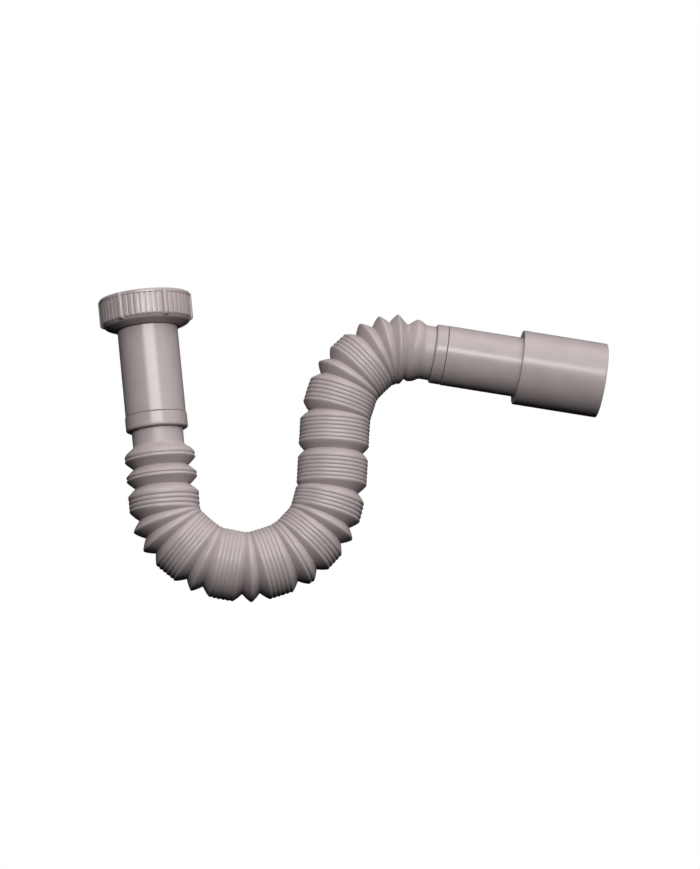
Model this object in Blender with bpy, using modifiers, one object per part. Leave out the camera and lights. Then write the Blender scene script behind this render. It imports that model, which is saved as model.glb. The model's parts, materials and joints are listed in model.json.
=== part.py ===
"""Flexible sink trap: a bellows hose between a screwed inlet tail and a stepped outlet pipe.

Metres, +Z up. The origin is the centre of the washer's top face, where the end of the
sink's waste seals. The inlet axis is Z, and the trap lies in the XZ plane with its outlet
towards +X.
"""

import math

import bmesh
import bpy
from mathutils import Matrix, Vector

# Fit between pieces
CLEARANCE = 0.0003
SLIDING_CLEARANCE = 0.0006

# Thread of the sink's waste, G 1 1/2
WASTE_THREAD_RADIUS = 0.0239
THREAD_DEPTH = 0.0014

# Union nut
NUT_WALL_RADIUS = 0.0294
NUT_ABOVE_SEAL = 0.0125
NUT_BELOW_SEAL = 0.0088
NUT_CONE_HEIGHT = 0.0056
NUT_BOTTOM_LAND = 0.0016
NUT_MOUTH_CHAMFER = 0.0012
NUT_RIM_HEIGHT = 0.0023
NUT_RIM_PROUD = 0.0009
NUT_RIM_ROUNDING = 0.0006
NUT_PLAIN_BAND = 0.0020

# Grips round the nut: fine ribs, and lugs that run up over the rim
RIB_COUNT = 48
RIB_WIDTH = 0.0017
RIB_PROUD = 0.0006
RIB_TUCK = 0.0003
RIB_ROOT_SINK = 0.0010
LUG_COUNT = 6
LUG_WIDTH = 0.0034
LUG_PROUD = 0.0016
LUG_PHASE = math.radians(-66)
LUG_TOP_DROP = 0.0006
LUG_BAND_GAP = 0.0005
LUG_ROOT_SINK = 0.0013
GRIP_ROOT_SPREAD = 1.5
GRIP_RING_WALL = 0.0010

# Sealing washer
WASHER_THICKNESS = 0.0030
WASHER_HOLE_RADIUS = 0.0180

# Smooth tubes at both ends
TUBE_RADIUS = 0.0200
TUBE_WALL = 0.0020
FLANGE_THICKNESS = 0.0025
INLET_TUBE_END = 0.0672
OUTLET_TUBE_LENGTH = 0.0497
STEP_THICKNESS = 0.0022
FUNNEL_LENGTH = 0.0040

# Spigots inside the hose's cuffs
SPIGOT_WALL = 0.0015
SPIGOT_LENGTH = 0.0140

# Collars that clamp the cuffs on the spigots
INLET_COLLAR_LENGTH = 0.0096
INLET_COLLAR_PROUD = 0.0005
OUTLET_COLLAR_LENGTH = 0.0076
OUTLET_COLLAR_PROUD = -0.0002
COLLAR_ROUNDING = 0.0012

# Outlet sleeve, which takes the pipe from 40 mm up to 50 mm
SLEEVE_RADIUS = 0.0250
SLEEVE_WALL = 0.0018
SLEEVE_LENGTH = 0.0567
SLEEVE_WEB = 0.0030
SLEEVE_HUB_LENGTH = 0.0160
SLEEVE_HUB_WALL = 0.0014

# Bellows hose, whose cuffs lie under the collars, below the tubes' surface
CUFF_INSET = 0.0030
CUFF_RADIUS = TUBE_RADIUS - CUFF_INSET
CUFF_WALL = 0.0012
RIM_RADIUS = 0.02325
LAST_RIM_RADIUS = 0.0208
HOSE_WALL = 0.0010
RIM_WALL = 0.0014
OPEN_DEPTH = 0.0054
NESTED_DEPTH = 0.0009
SHALLOWEST_DEPTH = 0.0003
INLET_CUFF_VISIBLE = 0.0102
INLET_FLARE = 0.0085
OUTLET_FLARE = 0.0070
OUTLET_CUFF_VISIBLE = 0.0061

# How far two neighbouring rims stand apart, on the outside and on the inside of a bend
OPEN = (0.0129, 0.0129)
HALF_OPEN = (0.0103, 0.0103)
TILTED = (0.0129, 0.0027)
PINCHED = (0.0139, 0.0010)
EASED = (0.0129, 0.0051)
LEAD_OUT = (0.0142, 0.0063)
NESTED = (0.00262, 0.00262)
FANNED = (0.0030, 0.0024)
SPREAD = (0.0028, 0.0032)

# Each group of nested rims from the inlet to the outlet: how many rims it holds, how they
# stand, and the pleat that follows. The side is +1 where the hose turns up into the trap
# and -1 where it turns back over the elbow. The hose is kept in seven lengths, each open
# at both ends, that meet in the middle of an open pleat.
HOSE_LENGTHS = {
    "hose_inlet_limb": [(1, NESTED, OPEN, 1), (1, NESTED, OPEN, 1), (4, SPREAD, PINCHED, 1)],
    "hose_trap_start": [
        (1, FANNED, PINCHED, 1),
        (1, FANNED, TILTED, 1),
        (6, FANNED, TILTED, 1),
    ],
    "hose_trap_bottom": [
        (1, FANNED, TILTED, 1),
        (6, FANNED, TILTED, 1),
        (1, FANNED, TILTED, 1),
        (6, FANNED, TILTED, 1),
        (2, FANNED, TILTED, 1),
    ],
    "hose_trap_end": [(5, FANNED, TILTED, 1), (1, FANNED, TILTED, 1), (5, FANNED, EASED, 1)],
    "hose_riser": [(7, NESTED, HALF_OPEN, 1), (7, NESTED, TILTED, -1)],
    "hose_elbow": [(6, FANNED, TILTED, -1), (1, FANNED, TILTED, -1), (5, FANNED, TILTED, -1)],
    "hose_outlet_end": [
        (1, FANNED, PINCHED, -1),
        (1, FANNED, TILTED, -1),
        (1, FANNED, LEAD_OUT, -1),
        (1, NESTED, None, -1),
    ],
}

# What stands in for the flares, which hollow the first and the last rim as open pleats do
FLARE_PLEAT = (*OPEN, 1, False)

# Facets round each turned piece and round the hose
TURNED_STEPS = 48
HOSE_SIDES = 24
SMOOTH_ANGLE = math.radians(35)
MERGE_DISTANCE = 0.00001


def clear_scene():
    """Remove what the scene starts with."""
    for thing in list(bpy.data.objects):
        bpy.data.objects.remove(thing, do_unlink=True)


def new_collection(name):
    collection = bpy.data.collections.new(name)
    bpy.context.scene.collection.children.link(collection)
    return collection


def plain_material(name, colour, roughness):
    """A Principled BSDF with one colour and roughness; none of the pieces is metal."""
    material = bpy.data.materials.new(name)
    material.use_nodes = True
    shader = material.node_tree.nodes["Principled BSDF"]
    shader.inputs["Base Color"].default_value = (*colour, 1.0)
    shader.inputs["Roughness"].default_value = roughness
    shader.inputs["Metallic"].default_value = 0.0
    return material


def turned(name, profile, collection, material, parent=None):
    """A closed (radius, height) profile turned about Z, down its outer side first."""
    mesh = bpy.data.meshes.new(name)
    corners = [(radius, 0.0, height) for radius, height in profile]
    sides = [(i, (i + 1) % len(corners)) for i in range(len(corners))]
    mesh.from_pydata(corners, sides, [])
    mesh.materials.append(material)
    piece = bpy.data.objects.new(name, mesh)
    piece.parent = parent
    collection.objects.link(piece)
    screw = piece.modifiers.new("turn", "SCREW")
    screw.steps = TURNED_STEPS
    screw.render_steps = TURNED_STEPS
    screw.use_merge_vertices = True
    screw.merge_threshold = MERGE_DISTANCE
    return piece


def rounded_corner(centre, radius, start, end, points=4):
    """Points along an arc of a profile, with its angles in degrees from the radial axis."""
    angles = [math.radians(start + (end - start) * i / (points - 1)) for i in range(points)]
    return [(centre[0] + radius * math.cos(a), centre[1] + radius * math.sin(a)) for a in angles]


def closed_outline(curve, points):
    spline = curve.splines.new("POLY")
    spline.points.add(len(points) - 1)
    for place, (x, y) in zip(spline.points, points):
        place.co = (x, y, 0.0, 1.0)
    spline.use_cyclic_u = True


def grip_ring(name, count, width, tip_radius, root_radius, low, high, collection):
    """A ring with count teeth round it, from low to high, to be joined to the nut's wall."""
    curve = bpy.data.curves.new(name, "CURVE")
    curve.dimensions = "2D"
    curve.fill_mode = "BOTH"
    curve.extrude = (high - low) / 2
    half_tip = width / 2 / tip_radius
    half_root = GRIP_ROOT_SPREAD * half_tip
    gap = math.tau / count - 2 * half_root
    gap_steps = math.ceil(gap / (math.tau / TURNED_STEPS))
    outline = []
    for tooth in range(count):
        middle = LUG_PHASE + math.tau * tooth / count
        corners = [(tip_radius, middle - half_tip), (tip_radius, middle + half_tip)]
        root_start = middle + half_root
        corners += [(root_radius, root_start + gap * i / gap_steps) for i in range(gap_steps + 1)]
        outline += [(radius * math.cos(a), radius * math.sin(a)) for radius, a in corners]
    closed_outline(curve, outline)
    bore = root_radius - GRIP_RING_WALL
    hole_angles = [math.tau * i / TURNED_STEPS for i in range(TURNED_STEPS)]
    closed_outline(curve, [(bore * math.cos(a), bore * math.sin(a)) for a in hole_angles])
    outline_object = bpy.data.objects.new(name + "_outline", curve)
    outline_object.location.z = (low + high) / 2
    collection.objects.link(outline_object)
    bpy.context.view_layer.update()
    evaluated = outline_object.evaluated_get(bpy.context.evaluated_depsgraph_get())
    mesh = bpy.data.meshes.new_from_object(evaluated)
    shape = bmesh.new()
    shape.from_mesh(mesh)
    bmesh.ops.remove_doubles(shape, verts=shape.verts, dist=MERGE_DISTANCE)
    shape.to_mesh(mesh)
    shape.free()
    ring = bpy.data.objects.new(name, mesh)
    ring.matrix_world = outline_object.matrix_world.copy()
    bpy.data.objects.remove(outline_object, do_unlink=True)
    collection.objects.link(ring)
    ring.hide_render = True
    ring.display_type = "WIRE"
    return ring


def join_to(piece, addition):
    union = piece.modifiers.new("join_" + addition.name, "BOOLEAN")
    union.operation = "UNION"
    union.object = addition


def nut_bore_radius():
    """The nut's bore at half the thread's depth; the fine thread itself isn't cut here."""
    return WASTE_THREAD_RADIUS - THREAD_DEPTH / 2


def flange_top():
    return -WASHER_THICKNESS - CLEARANCE


def flange_bottom():
    return flange_top() - FLANGE_THICKNESS


def nut_shoulder():
    return flange_bottom() - CLEARANCE


def flange_radius():
    return nut_bore_radius() - SLIDING_CLEARANCE


def make_nut(parts, helpers, material):
    top = NUT_ABOVE_SEAL
    bottom = -NUT_BELOW_SEAL
    rim_radius = NUT_WALL_RADIUS + NUT_RIM_PROUD
    cone_top = bottom + NUT_CONE_HEIGHT
    neck = TUBE_RADIUS + SLIDING_CLEARANCE
    bore = nut_bore_radius()
    rim_bottom = top - NUT_RIM_HEIGHT
    rounding_centre = (rim_radius - NUT_RIM_ROUNDING, top - NUT_RIM_ROUNDING)
    profile = rounded_corner(rounding_centre, NUT_RIM_ROUNDING, 90, 0)
    profile += [
        (rim_radius, rim_bottom),
        (NUT_WALL_RADIUS, rim_bottom - NUT_RIM_PROUD / 2),
        (NUT_WALL_RADIUS, cone_top),
        (neck + NUT_BOTTOM_LAND, bottom),
        (neck, bottom),
        (neck, nut_shoulder()),
        (bore, nut_shoulder()),
        (bore, top - NUT_MOUTH_CHAMFER),
        (bore + NUT_MOUTH_CHAMFER, top),
    ]
    nut = turned("union_nut", profile, parts, material)
    ribs = grip_ring(
        "nut_ribs", RIB_COUNT, RIB_WIDTH, NUT_WALL_RADIUS + RIB_PROUD,
        NUT_WALL_RADIUS - RIB_ROOT_SINK, cone_top + NUT_PLAIN_BAND, rim_bottom + RIB_TUCK, helpers,
    )
    lugs = grip_ring(
        "nut_lugs", LUG_COUNT, LUG_WIDTH, NUT_WALL_RADIUS + LUG_PROUD,
        NUT_WALL_RADIUS - LUG_ROOT_SINK, cone_top + LUG_BAND_GAP, top - LUG_TOP_DROP, helpers,
    )
    join_to(nut, ribs)
    join_to(nut, lugs)
    return nut


def make_washer(parts, material):
    outer = nut_bore_radius() - SLIDING_CLEARANCE
    profile = [
        (outer, 0.0),
        (outer, -WASHER_THICKNESS),
        (WASHER_HOLE_RADIUS, -WASHER_THICKNESS),
        (WASHER_HOLE_RADIUS, 0.0),
    ]
    return turned("sealing_washer", profile, parts, material)


def spigot_radius():
    return CUFF_RADIUS - CUFF_WALL - CLEARANCE


def make_inlet_tube(parts, material):
    bore = TUBE_RADIUS - TUBE_WALL
    spigot = spigot_radius()
    step = -INLET_TUBE_END
    end = step - SPIGOT_LENGTH
    profile = [
        (flange_radius(), flange_top()),
        (flange_radius(), flange_bottom()),
        (TUBE_RADIUS, flange_bottom()),
        (TUBE_RADIUS, step),
        (spigot, step),
        (spigot, end),
        (spigot - SPIGOT_WALL, end),
        (spigot - SPIGOT_WALL, step + STEP_THICKNESS),
        (bore, step + STEP_THICKNESS + FUNNEL_LENGTH),
        (bore, flange_top()),
    ]
    return turned("inlet_tube", profile, parts, material)


def make_collar(name, near, far, proud, parts, material, parent=None):
    """A ring over the hose's cuff from height near, by the tube, to far, with a rounded end."""
    outer = TUBE_RADIUS + proud
    inner = CUFF_RADIUS + CLEARANCE
    away = 1 if far > near else -1
    centre = (outer - COLLAR_ROUNDING, far - away * COLLAR_ROUNDING)
    profile = [(inner, near), (outer, near)]
    profile += rounded_corner(centre, COLLAR_ROUNDING, 0, away * 90)
    profile += [(inner, far)]
    if away > 0:
        profile.reverse()
    return turned(name, profile, parts, material, parent)


def walk_hose():
    """Every rim from the inlet to the outlet, and every pleat between two rims.

    A rim is a centre (x, z) and a heading, the angle that the hose has turned from straight
    down towards +X. A pleat is its two pitches and its side. Between two rims the hose goes
    half the mean pitch, turns by what the pitches differ, and goes the other half.
    """
    groups = [group for length in HOSE_LENGTHS.values() for group in length]
    x, z, heading = 0.0, first_rim_height(), 0.0
    rims = []
    pleats = []
    for count, stand, gap, side in groups:
        spacings = [(stand, side, True)] * (count - 1)
        if gap is not None:
            spacings.append((gap, side, False))
        rims.append((x, z, heading))
        for (outer, inner), turn_side, is_nested in spacings:
            half = (outer + inner) / 4
            x += half * math.sin(heading)
            z -= half * math.cos(heading)
            heading += turn_side * (outer - inner) / (2 * RIM_RADIUS)
            x += half * math.sin(heading)
            z -= half * math.cos(heading)
            pleats.append((outer, inner, turn_side, is_nested))
            rims.append((x, z, heading))
        if gap is not None:
            rims.pop()
    return rims, pleats


def first_rim_height():
    collar_end = -INLET_TUBE_END - CLEARANCE - INLET_COLLAR_LENGTH
    return collar_end - INLET_CUFF_VISIBLE - INLET_FLARE


def pleat_depth(pitch):
    """How far the groove between two rims sinks, for the pitch between them."""
    share = (pitch - NESTED[0]) / (OPEN[0] - NESTED[0])
    return max(SHALLOWEST_DEPTH, NESTED_DEPTH + share * (OPEN_DEPTH - NESTED_DEPTH))


def local_pitch(pleat, angle):
    """The pitch at an angle round the hose, where 0 faces the inside of the trap bend."""
    outer, inner, side, _ = pleat
    return (outer + inner) / 2 - side * (outer - inner) / 2 * math.cos(angle)


def hose_angles():
    return [math.tau * i / HOSE_SIDES for i in range(HOSE_SIDES)]


def ring_points(station, radii):
    """One ring of points round a station (x, z, heading), with a radius for each angle."""
    x, z, heading = station
    inward = Vector((math.cos(heading), 0.0, math.sin(heading)))
    across = Vector((0.0, 1.0, 0.0))
    centre = Vector((x, 0.0, z))
    return [
        centre + radius * (math.cos(angle) * inward + math.sin(angle) * across)
        for radius, angle in zip(radii, hose_angles())
    ]


def station_between(first, second):
    return tuple((a + b) / 2 for a, b in zip(first, second))


def station_ahead(station, distance):
    x, z, heading = station
    return (x + distance * math.sin(heading), z - distance * math.cos(heading), heading)


def cuff_stations(rims):
    """Where each cuff ends, and where it flares into the first and the last rim."""
    inlet_end = (0.0, -INLET_TUBE_END - 2 * CLEARANCE, 0.0)
    inlet_flare = station_ahead(rims[0], -INLET_FLARE)
    outlet_flare = station_ahead(rims[-1], OUTLET_FLARE)
    outlet_end = station_ahead(rims[-1], outlet_step_station() - 2 * CLEARANCE)
    return inlet_end, inlet_flare, outlet_flare, outlet_end


def outlet_step_station():
    """From the last rim to the outlet tube's step, along the outlet's axis."""
    collar_start = OUTLET_FLARE + OUTLET_CUFF_VISIBLE
    return collar_start + OUTLET_COLLAR_LENGTH + CLEARANCE


def loft_between(shape, rings):
    """Quads between neighbouring rings, and from the last ring back to the first."""
    loops = [[shape.verts.new(point) for point in ring] for ring in rings]
    for near, far in zip(loops, loops[1:] + loops[:1]):
        for i in range(HOSE_SIDES):
            j = (i + 1) % HOSE_SIDES
            shape.faces.new((near[i], near[j], far[j], far[i]))


def valley_rings(rims, pleats, i, shift=0.0):
    """The skin and the bore in the groove after rim i, moved ahead by shift."""
    valley = station_ahead(station_between(rims[i], rims[i + 1]), shift)
    is_last = i == len(pleats) - 1
    crest = LAST_RIM_RADIUS if is_last else RIM_RADIUS
    radii = [crest - pleat_depth(local_pitch(pleats[i], a)) for a in hose_angles()]
    if is_last:
        radii = [max(radius, CUFF_RADIUS) for radius in radii]
    return ring_points(valley, radii), ring_points(valley, [straight_bore()] * HOSE_SIDES)


def rim_rings(rims, pleats, i):
    """The skin and the bore at rim i. A rim beside a nested pleat has no bore of its own."""
    crest = LAST_RIM_RADIUS if i == len(rims) - 1 else RIM_RADIUS
    before = pleats[i - 1] if i > 0 else FLARE_PLEAT
    after = pleats[i] if i < len(pleats) else FLARE_PLEAT
    skin = ring_points(rims[i], [crest] * HOSE_SIDES)
    if before[3] or after[3]:
        return skin, None
    inner = [hollow_rim_radius(crest, before, after, a) for a in hose_angles()]
    return skin, ring_points(rims[i], inner)


def make_hose_length(name, rims, pleats, first, last, parts, material):
    """One length of the hose, from rim first to rim last: its skin on, and its bore back.

    Nested pleats lie folded into each other, so there the wall is as thick as the fold. A
    rim that stands alone is hollow where the pleats beside it are drawn open.
    """
    inlet_end, inlet_flare, outlet_flare, outlet_end = cuff_stations(rims)
    cuff = [CUFF_RADIUS] * HOSE_SIDES
    cuff_bore = [CUFF_RADIUS - CUFF_WALL] * HOSE_SIDES

    if first == 0:
        skin = [ring_points(inlet_end, cuff), ring_points(inlet_flare, cuff)]
        bore = [ring_points(inlet_end, cuff_bore), ring_points(inlet_flare, cuff_bore)]
    else:
        outer, inner = valley_rings(rims, pleats, first - 1, CLEARANCE / 2)
        skin, bore = [outer], [inner]
    for i in range(first, last + 1):
        outer, inner = rim_rings(rims, pleats, i)
        skin.append(outer)
        if inner is not None:
            bore.append(inner)
        if i < last:
            outer, inner = valley_rings(rims, pleats, i)
            skin.append(outer)
            if not pleats[i][3]:
                bore.append(inner)
    if last == len(rims) - 1:
        skin += [ring_points(outlet_flare, cuff), ring_points(outlet_end, cuff)]
        bore += [ring_points(outlet_flare, cuff_bore), ring_points(outlet_end, cuff_bore)]
    else:
        outer, inner = valley_rings(rims, pleats, last, -CLEARANCE / 2)
        skin.append(outer)
        bore.append(inner)

    shape = bmesh.new()
    loft_between(shape, skin + bore[::-1])
    bmesh.ops.recalc_face_normals(shape, faces=shape.faces)
    mesh = bpy.data.meshes.new(name)
    shape.to_mesh(mesh)
    shape.free()
    mesh.materials.append(material)
    length = bpy.data.objects.new(name, mesh)
    parts.objects.link(length)
    return length


def make_hose(rims, pleats, parts, material):
    lengths = []
    first = 0
    for name, groups in HOSE_LENGTHS.items():
        last = first + sum(group[0] for group in groups) - 1
        lengths.append(make_hose_length(name, rims, pleats, first, last, parts, material))
        first = last + 1
    return lengths


def straight_bore():
    return RIM_RADIUS - OPEN_DEPTH - HOSE_WALL


def hollow_rim_radius(crest, before, after, angle):
    """The bore under a lone rim: out to the wall where both pleats are open, else straight."""
    pitch = min(local_pitch(before, angle), local_pitch(after, angle))
    share = (pitch - NESTED[0]) / (OPEN[0] - NESTED[0])
    share = min(1.0, max(0.0, share))
    return straight_bore() + share * (crest - RIM_WALL - straight_bore())


def outlet_empty(last_rim, parts):
    """An empty at the last rim whose +Z runs out along the outlet's axis."""
    x, z, heading = last_rim
    empty = bpy.data.objects.new("outlet_axis", None)
    empty.matrix_world = Matrix.Translation((x, 0.0, z)) @ Matrix.Rotation(math.pi - heading, 4, "Y")
    parts.objects.link(empty)
    return empty


def make_outlet_tube(parts, material, parent):
    bore = TUBE_RADIUS - TUBE_WALL
    spigot = spigot_radius()
    step = outlet_step_station()
    start = step - SPIGOT_LENGTH
    end = step + OUTLET_TUBE_LENGTH + CLEARANCE + SLEEVE_HUB_LENGTH
    profile = [
        (TUBE_RADIUS, end),
        (TUBE_RADIUS, step),
        (spigot, step),
        (spigot, start),
        (spigot - SPIGOT_WALL, start),
        (spigot - SPIGOT_WALL, step + STEP_THICKNESS),
        (bore, step + STEP_THICKNESS + FUNNEL_LENGTH),
        (bore, end),
    ]
    return turned("outlet_tube", profile, parts, material, parent)


def make_sleeve(parts, material, parent):
    """The 50 mm sleeve: a skirt, and a web with a hub that grips the end of the 40 mm tube."""
    start = outlet_step_station() + OUTLET_TUBE_LENGTH + CLEARANCE
    end = start + SLEEVE_LENGTH
    hub_bore = TUBE_RADIUS + CLEARANCE
    hub_outer = hub_bore + SLEEVE_HUB_WALL
    skirt_bore = SLEEVE_RADIUS - SLEEVE_WALL
    profile = [
        (SLEEVE_RADIUS, end),
        (SLEEVE_RADIUS, start),
        (hub_bore, start),
        (hub_bore, start + SLEEVE_HUB_LENGTH),
        (hub_outer, start + SLEEVE_HUB_LENGTH),
        (hub_outer, start + SLEEVE_WEB),
        (skirt_bore, start + SLEEVE_WEB),
        (skirt_bore, end),
    ]
    return turned("outlet_sleeve", profile, parts, material, parent)


def smooth_round_faces(piece):
    piece.data.shade_smooth()
    piece.data.set_sharp_from_angle(angle=SMOOTH_ANGLE)


def build():
    clear_scene()
    parts = new_collection("flexible_sink_trap")
    helpers = new_collection("helpers")
    grey = plain_material("grey_polypropylene", (0.42, 0.36, 0.36), 0.38)
    hose_grey = plain_material("grey_hose_polypropylene", (0.42, 0.36, 0.36), 0.45)
    rubber = plain_material("black_rubber", (0.02, 0.02, 0.02), 0.7)

    rims, pleats = walk_hose()
    outlet = outlet_empty(rims[-1], parts)
    inlet_collar_near = -INLET_TUBE_END - CLEARANCE
    outlet_collar_near = outlet_step_station() - CLEARANCE
    pieces = [
        make_nut(parts, helpers, grey),
        make_washer(parts, rubber),
        make_inlet_tube(parts, grey),
        make_collar(
            "inlet_collar", inlet_collar_near, inlet_collar_near - INLET_COLLAR_LENGTH,
            INLET_COLLAR_PROUD, parts, grey,
        ),
        *make_hose(rims, pleats, parts, hose_grey),
        make_collar(
            "outlet_collar", outlet_collar_near, outlet_collar_near - OUTLET_COLLAR_LENGTH,
            OUTLET_COLLAR_PROUD, parts, grey, outlet,
        ),
        make_outlet_tube(parts, grey, outlet),
        make_sleeve(parts, grey, outlet),
    ]
    for piece in pieces:
        smooth_round_faces(piece)


build()
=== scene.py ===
"""Flexible sink trap: a bellows hose between a screwed inlet tail and a stepped outlet pipe.

Metres, +Z up. The origin is the centre of the washer's top face, the inlet axis is Z, and the
trap lies in the XZ plane with its outlet towards +X.
"""

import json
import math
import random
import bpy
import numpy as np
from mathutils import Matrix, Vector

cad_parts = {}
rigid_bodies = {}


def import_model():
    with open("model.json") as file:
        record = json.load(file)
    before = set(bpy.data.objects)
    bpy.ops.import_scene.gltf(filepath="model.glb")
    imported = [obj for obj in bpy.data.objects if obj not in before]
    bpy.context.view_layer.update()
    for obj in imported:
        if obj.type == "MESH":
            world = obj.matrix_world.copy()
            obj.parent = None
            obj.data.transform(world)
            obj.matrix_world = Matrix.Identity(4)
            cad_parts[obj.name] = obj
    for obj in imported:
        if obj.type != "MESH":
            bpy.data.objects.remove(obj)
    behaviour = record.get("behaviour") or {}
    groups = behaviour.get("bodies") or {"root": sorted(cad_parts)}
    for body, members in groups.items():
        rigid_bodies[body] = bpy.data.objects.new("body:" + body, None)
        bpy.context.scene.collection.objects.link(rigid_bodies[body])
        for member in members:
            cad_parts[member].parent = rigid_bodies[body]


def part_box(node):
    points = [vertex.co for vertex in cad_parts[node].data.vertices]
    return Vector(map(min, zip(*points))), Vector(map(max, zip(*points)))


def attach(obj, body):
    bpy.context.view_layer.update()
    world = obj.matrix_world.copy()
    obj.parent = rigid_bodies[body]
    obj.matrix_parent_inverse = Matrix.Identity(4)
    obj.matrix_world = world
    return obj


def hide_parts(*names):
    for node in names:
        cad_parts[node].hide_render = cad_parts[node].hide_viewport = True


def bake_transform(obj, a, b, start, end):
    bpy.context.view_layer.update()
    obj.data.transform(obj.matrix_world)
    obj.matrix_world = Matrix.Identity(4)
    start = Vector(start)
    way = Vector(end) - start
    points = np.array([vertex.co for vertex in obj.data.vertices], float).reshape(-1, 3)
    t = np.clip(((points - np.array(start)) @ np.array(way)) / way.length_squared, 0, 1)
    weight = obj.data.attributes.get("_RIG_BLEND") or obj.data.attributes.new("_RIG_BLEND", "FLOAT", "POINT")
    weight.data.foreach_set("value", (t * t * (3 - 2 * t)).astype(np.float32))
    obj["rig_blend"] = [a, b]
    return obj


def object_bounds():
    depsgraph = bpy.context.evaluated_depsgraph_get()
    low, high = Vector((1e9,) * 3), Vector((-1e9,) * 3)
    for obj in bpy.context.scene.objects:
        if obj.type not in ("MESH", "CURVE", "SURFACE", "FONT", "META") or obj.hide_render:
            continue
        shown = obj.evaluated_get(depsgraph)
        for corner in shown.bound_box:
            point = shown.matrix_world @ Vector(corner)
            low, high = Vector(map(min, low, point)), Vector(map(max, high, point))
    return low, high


bl_info = {
    "name": "Flexible Sink Trap",
    "version": (1, 0, 0),
    "blender": (4, 5, 0),
    "location": "3D View > Sidebar > Sink Trap",
    "description": "Makes a flexible sink trap piece by piece",
    "category": "Add Mesh",
}

import bmesh
import bpy
from bpy.props import FloatProperty, FloatVectorProperty, IntProperty, PointerProperty
from mathutils import Matrix, Vector

for thing in list(bpy.data.objects):
    bpy.data.objects.remove(thing, do_unlink=True)
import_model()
cad_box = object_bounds()

# Fit between pieces
CLEARANCE = 0.0003
SLIDING_CLEARANCE = 0.0006

# Hidden details of the moulded parts
FLANGE_THICKNESS = 0.0025
SPIGOT_WALL = 0.0015
SPIGOT_RAMP = (0.0022, 0.0062)
NUT_LAND = 0.0016
THREAD_INSET = 0.0012
WASHER_HOLE_RADIUS = 0.0180
HUB_LENGTH = 0.0160
HUB_WALL = 0.0014
WEB_THICKNESS = 0.0030

# Share of a grip's width that its flat tip takes
RIB_TIP = 0.78
LUG_TIP = 0.6

# How far two neighbouring rims stand apart, on the outside and on the inside of a bend
OPEN = (0.0129, 0.0129)
HALF_OPEN = (0.0103, 0.0103)
TILTED = (0.0129, 0.0027)
PINCHED = (0.0139, 0.0010)
EASED = (0.0129, 0.0051)
LEAD_OUT = (0.0142, 0.0063)
NESTED = (0.00262, 0.00262)
FANNED = (0.0030, 0.0024)
SPREAD = (0.0028, 0.0032)

# Groups of nested rims, from the inlet on: how many rims, how they stand, the pleat that
# follows, and the side that the hose turns to
INLET_GROUPS = [
    (1, NESTED, OPEN, 1),
    (1, NESTED, OPEN, 1),
    (4, SPREAD, PINCHED, 1),
    (1, FANNED, PINCHED, 1),
    (1, FANNED, TILTED, 1),
    (6, FANNED, TILTED, 1),
]
OUTLET_GROUPS = [
    (1, FANNED, TILTED, 1),
    (6, FANNED, TILTED, 1),
    (1, FANNED, TILTED, 1),
    (6, FANNED, TILTED, 1),
    (2, FANNED, TILTED, 1),
    (5, FANNED, TILTED, 1),
    (1, FANNED, TILTED, 1),
    (5, FANNED, EASED, 1),
    (7, NESTED, HALF_OPEN, 1),
    (7, NESTED, TILTED, -1),
    (6, FANNED, TILTED, -1),
    (1, FANNED, TILTED, -1),
    (5, FANNED, TILTED, -1),
    (1, FANNED, PINCHED, -1),
    (1, FANNED, TILTED, -1),
    (1, FANNED, LEAD_OUT, -1),
    (1, NESTED, None, -1),
]

# The world's soft glow: where it comes from, right of the front and above it, the cosines of
# the angle from there at which it ends and is full, and its full strength
GLOW_AZIMUTH = math.radians(27)
GLOW_ELEVATION = math.radians(42)
GLOW_COSINES = (0.45, 1.0)
GLOW_STRENGTH = 1.8

# The world's faint haze: its strengths at and below the horizon and high up
HAZE_STRENGTHS = (0.003, 0.06)

# How far off the soft boxes stand
SOFTBOX_DISTANCE = 1.6

# Share of the floor's look that is plain white, while the rest keeps the shadow
FLOOR_WHITE = 0.8

# Rims at the inlet that are two folds lying together
TWIN_RIMS = 2

# Places along a pleat, from one rim to the groove, where the skin gets a ring of points
OPEN_PLACES = (0.0, 0.03, 0.055, 0.08, 0.11, 0.16, 0.24, 0.33, 0.41, 0.46, 0.485, 0.5)
NESTED_PLACES = (0.0, 0.12, 0.22, 0.31, 0.39, 0.45, 0.5)

# Places along a flare from the cuff to the rim, and how softly it leaves the cuff
FLARE_PLACES = (-0.15, 0.0, 0.1, 0.2, 0.3, 0.45, 0.65, 0.85, 1.0)
FLARE_SOFTNESS = 0.35

# How a pleat's flank bows: 1 is straight, and more keeps it full near the rim
OPEN_SHAPE = 1.12
NESTED_SHAPE = 2.0

# Most of its pitch that half of a rim's flat may take
WIDEST_LAND = 0.12

# How many walls thick a rim is between skin and bore
RIM_WALLS = 1.4

# The hose's lengths in the frame that each of its two pieces stands for
INLET_LENGTHS = ("hose_inlet_limb", "hose_trap_start")
OUTLET_LENGTHS = (
    "hose_trap_bottom", "hose_trap_end", "hose_riser", "hose_elbow", "hose_outlet_end",
)


def linear(hex_colour):
    """The linear RGB of an sRGB hex colour."""
    values = [int(hex_colour[i:i + 2], 16) / 255 for i in (1, 3, 5)]
    return tuple(v / 12.92 if v <= 0.04045 else ((v + 0.055) / 1.055) ** 2.4 for v in values)


def length(name, description, default, precision=5):
    """A size in metres for a property group."""
    return FloatProperty(
        name=name, description=description, default=default, unit="LENGTH", precision=precision)


def degrees(name, description, default):
    """An angle for a property group, given in degrees."""
    return FloatProperty(
        name=name, description=description, default=math.radians(default), subtype="ANGLE")


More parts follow.
